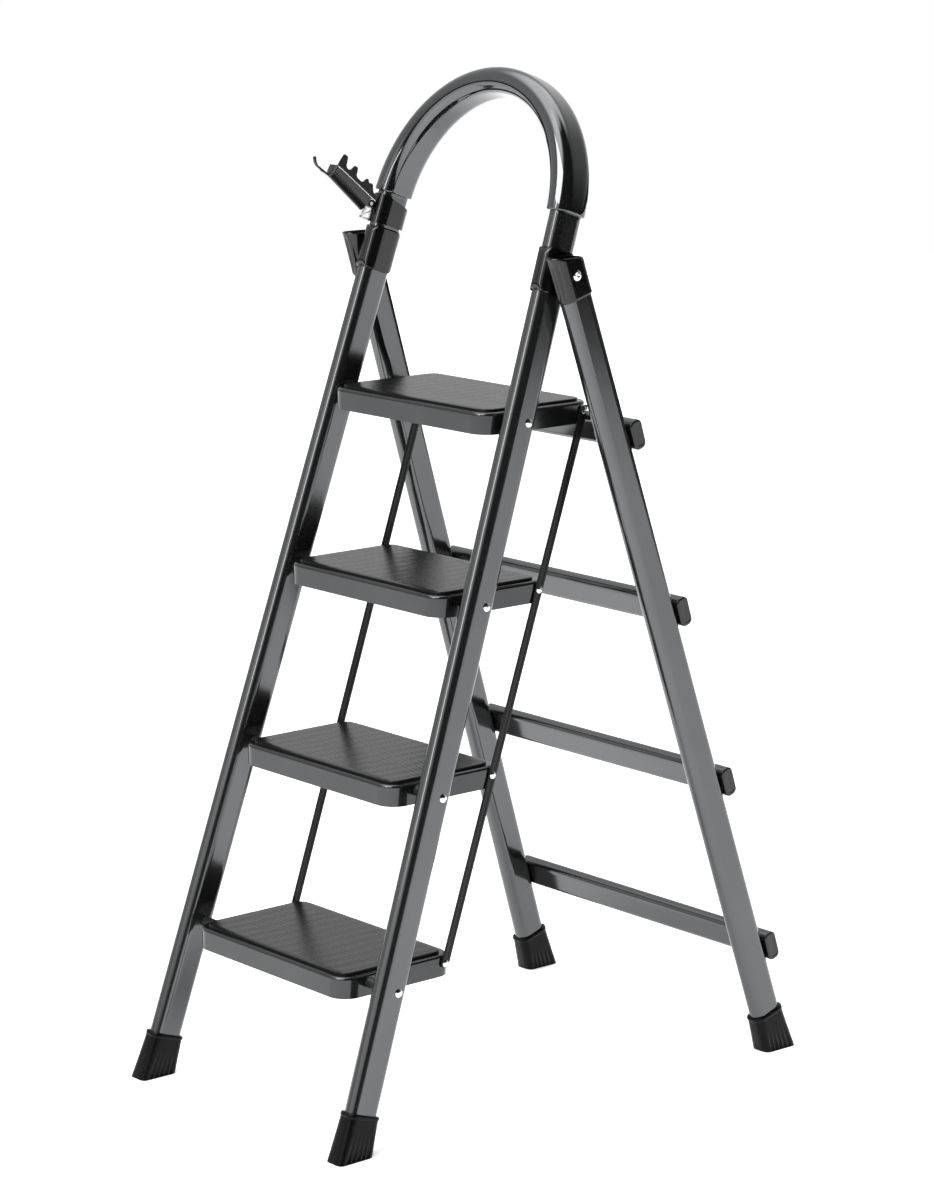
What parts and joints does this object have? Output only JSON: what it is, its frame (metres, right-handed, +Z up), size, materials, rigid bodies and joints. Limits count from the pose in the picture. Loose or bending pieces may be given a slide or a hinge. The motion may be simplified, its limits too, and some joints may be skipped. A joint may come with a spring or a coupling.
{
  "type": "step ladder",
  "caption": "Folding steel step ladder with an arched handrail and grip, rubber-matted treads that fold with the rear frame, rubber feet and a small clip-on tool tray",
  "frame": {"origin": "on the floor, at the middle of the footprint", "axes": "X runs across the ladder, with +X on the user's right when climbing; -Y is the climbing side and +Y the rear frame; Z is up"},
  "size_m": [0.5174, 0.766, 1.3196],
  "materials": {
    "frame_paint": "charcoal powder coat, semi-gloss",
    "tread_paint": "black powder coat, semi-gloss",
    "strap_paint": "black powder coat, satin",
    "bracket_paint": "dark grey powder coat, satin",
    "mat_rubber": "ribbed non-slip surface, satin",
    "foot_rubber": "moulded, satin, fluted near the floor",
    "grip_plastic": "smooth glossy sleeve",
    "fitting_plastic": "moulded, semi-gloss",
    "washer_plastic": "light grey nylon",
    "tray_plastic": "moulded, satin",
    "rivet_steel": "zinc-plated, bright",
    "stay_metal": "bare, bright"
  },
  "bodies": {
    "front_frame": {"front_tube": "frame_paint", "arch_grip": "grip_plastic", "front_foot_right": "foot_rubber", "front_foot_left": "foot_rubber", "hinge_collar_right": "fitting_plastic", "hinge_collar_left": "fitting_plastic", "hinge_pin_right": "rivet_steel", "hinge_pin_left": "rivet_steel", "hinge_washers": "washer_plastic", "tread_pivot_pins": "rivet_steel", "tread_spacers": "washer_plastic", "tray_clamp": "fitting_plastic", "tray_pin": "rivet_steel", "tray_stay": "stay_metal"},
    "rear_frame": {"rear_leg_right": "frame_paint", "rear_leg_left": "frame_paint", "rear_foot_right": "foot_rubber", "rear_foot_left": "foot_rubber", "rear_cap_right": "fitting_plastic", "rear_cap_left": "fitting_plastic", "crossbar_1": "frame_paint", "crossbar_2": "frame_paint", "crossbar_3": "frame_paint", "crossbar_4": "frame_paint", "crossbar_plug_1_right": "fitting_plastic", "crossbar_plug_1_left": "fitting_plastic", "crossbar_plug_2_right": "fitting_plastic", "crossbar_plug_2_left": "fitting_plastic", "crossbar_plug_3_right": "fitting_plastic", "crossbar_plug_3_left": "fitting_plastic", "crossbar_plug_4_right": "fitting_plastic", "crossbar_plug_4_left": "fitting_plastic", "crossbar_rivets": "rivet_steel"},
    "tread_1": {"tread_pan_1": "tread_paint", "tread_mat_1": "mat_rubber", "tread_stiffener_1": "tread_paint", "strap_rivets_1": "rivet_steel"},
    "tread_2": {"tread_pan_2": "tread_paint", "tread_mat_2": "mat_rubber", "tread_stiffener_2": "tread_paint", "strap_rivets_2": "rivet_steel"},
    "tread_3": {"tread_pan_3": "tread_paint", "tread_mat_3": "mat_rubber", "tread_stiffener_3": "tread_paint", "strap_rivets_3": "rivet_steel"},
    "tread_4": {"tread_pan_4": "tread_paint", "tread_mat_4": "mat_rubber", "tread_stiffener_4": "tread_paint", "strap_rivets_4": "rivet_steel", "spreader_hooks": "bracket_paint", "hook_rivets": "rivet_steel"},
    "strap_right": {"link_strap_right": "strap_paint"},
    "strap_left": {"link_strap_left": "strap_paint"},
    "tray": {"tool_tray": "tray_plastic"}
  },
  "joints": [
    {"name": "rear_frame_fold", "type": "hinge", "parent": "front_frame", "child": "rear_frame", "pos_m": [0, 0.00728, 1.07501], "axis": [1, 0, 0], "range_deg": [-33.5, 0]},
    {"name": "tread_1_fold", "type": "hinge", "parent": "front_frame", "child": "tread_1", "pos_m": [0, -0.27969, 0.2015], "axis": [1, 0, 0], "range_deg": [0, 64]},
    {"name": "tread_2_fold", "type": "hinge", "parent": "front_frame", "child": "tread_2", "pos_m": [0, -0.2006, 0.4365], "axis": [1, 0, 0], "range_deg": [0, 64]},
    {"name": "tread_3_fold", "type": "hinge", "parent": "front_frame", "child": "tread_3", "pos_m": [0, -0.12269, 0.668], "axis": [1, 0, 0], "range_deg": [0, 64]},
    {"name": "tread_4_fold", "type": "hinge", "parent": "front_frame", "child": "tread_4", "pos_m": [0, -0.04731, 0.892], "axis": [1, 0, 0], "range_deg": [0, 64]},
    {"name": "strap_right_turn", "type": "hinge", "parent": "tread_4", "child": "strap_right", "pos_m": [0, 0.07569, 0.892], "axis": [1, 0, 0], "range_deg": [-64, 0]},
    {"name": "strap_left_turn", "type": "hinge", "parent": "tread_4", "child": "strap_left", "pos_m": [0, 0.07569, 0.892], "axis": [1, 0, 0], "range_deg": [-64, 0]},
    {"name": "tray_fold", "type": "hinge", "parent": "front_frame", "child": "tray", "pos_m": [0, -0.00733, 1.13663], "axis": [-1, 0, 0], "range_deg": [0, 15]}
  ],
  "couplings": [
    {"joint": "tread_1_fold", "follows": "rear_frame_fold", "ratio": -1.91},
    {"joint": "tread_2_fold", "follows": "rear_frame_fold", "ratio": -1.91},
    {"joint": "tread_3_fold", "follows": "rear_frame_fold", "ratio": -1.91},
    {"joint": "tread_4_fold", "follows": "rear_frame_fold", "ratio": -1.91},
    {"joint": "strap_right_turn", "follows": "rear_frame_fold", "ratio": 1.91},
    {"joint": "strap_left_turn", "follows": "rear_frame_fold", "ratio": 1.91}
  ]
}
